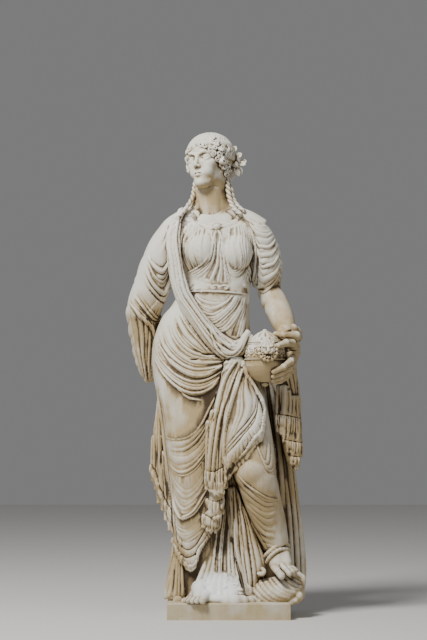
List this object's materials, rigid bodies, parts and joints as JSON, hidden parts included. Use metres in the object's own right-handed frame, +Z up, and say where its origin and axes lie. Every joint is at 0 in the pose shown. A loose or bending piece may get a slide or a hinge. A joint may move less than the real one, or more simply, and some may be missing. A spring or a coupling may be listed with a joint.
{
  "type": "classical marble statue",
  "caption": "Standing draped woman with a covered vessel on the left hip, the right arm behind the back and the left foot on a boulder, on a low plinth; ornament for a niche or garden.",
  "frame": {"origin": "centre of the plinth's underside", "axes": "+Z up, -Y the statue's front, +X the statue's own left"},
  "size_m": [0.7175, 0.4519, 1.901],
  "materials": {
    "figure_marble": "honed marble, weathered, warm patina in the hollows",
    "plinth_marble": "sawn marble, stained ochre, chipped arrises"
  },
  "bodies": {
    "root": {"plinth": "plinth_marble", "figure": "figure_marble"}
  },
  "joints": []
}
